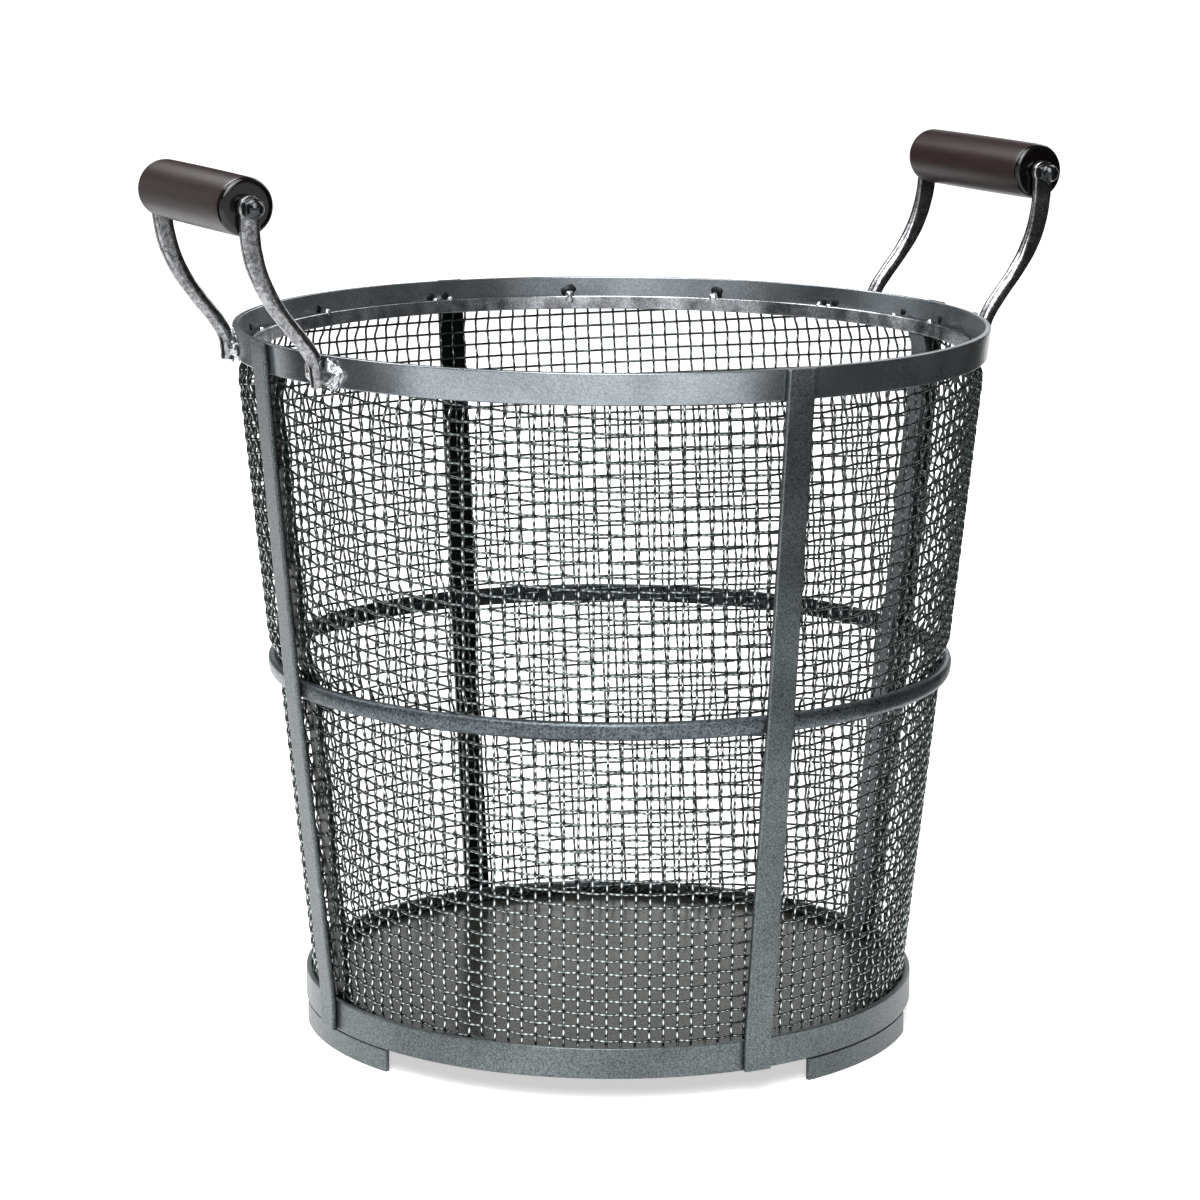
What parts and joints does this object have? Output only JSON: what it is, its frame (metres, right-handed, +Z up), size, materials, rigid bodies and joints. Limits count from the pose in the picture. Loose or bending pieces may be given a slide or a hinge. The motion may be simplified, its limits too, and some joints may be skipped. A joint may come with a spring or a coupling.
{
  "type": "log bin",
  "caption": "Tapered round log bin: wire mesh in a frame of flat iron bar on short feet, with raised side handles whose turned wooden grips spin on rods.",
  "frame": {"origin": "on the floor, under the centre of the round bin", "axes": "+X through the handles, towards the handle at the right of the picture; +Y towards the back; +Z up"},
  "size_m": [0.49, 0.4066, 0.4675],
  "materials": {
    "bar": "pewter grey hammered powder coat on mild steel flat bar",
    "plate": "pewter grey hammered powder coat on sheet steel",
    "wire": "pewter grey powder coat on woven crimped steel wire",
    "forged": "gunmetal coat on hammered forged bar",
    "wood": "dark brown gloss lacquer on turned hardwood",
    "fastener": "blackened steel"
  },
  "bodies": {
    "frame": {"base_hoop": "bar", "rim_hoop": "bar", "rim_inner_band": "bar", "mid_hoop": "bar", "strap_right": "bar", "strap_back": "bar", "strap_left": "bar", "strap_front": "bar", "foot_left": "bar", "foot_front": "bar", "foot_back": "bar", "seam_strip": "bar", "seam_strip_left": "bar", "floor_plate": "plate", "mesh_cross_wires": "wire", "mesh_panel_01": "wire", "mesh_panel_02": "wire", "mesh_panel_03": "wire", "mesh_panel_04": "wire", "mesh_panel_05": "wire", "mesh_panel_06": "wire", "mesh_panel_07": "wire", "mesh_panel_08": "wire", "mesh_panel_09": "wire", "mesh_panel_10": "wire", "mesh_panel_11": "wire", "mesh_panel_12": "wire", "post_right_front": "forged", "post_right_back": "forged", "post_left_front": "forged", "post_left_back": "forged", "rod_right": "fastener", "rod_left": "fastener", "nut_right_front": "fastener", "nut_right_back": "fastener", "nut_left_front": "fastener", "nut_left_back": "fastener"},
    "right_grip": {"grip_right": "wood"},
    "left_grip": {"grip_left": "wood"}
  },
  "joints": [
    {"name": "right_grip_spin", "type": "hinge", "parent": "frame", "child": "right_grip", "pos_m": [0.23, 0, 0.4525], "axis": [0, 1, 0], "continuous": true},
    {"name": "left_grip_spin", "type": "hinge", "parent": "frame", "child": "left_grip", "pos_m": [-0.23, 0, 0.4525], "axis": [0, 1, 0], "continuous": true}
  ]
}
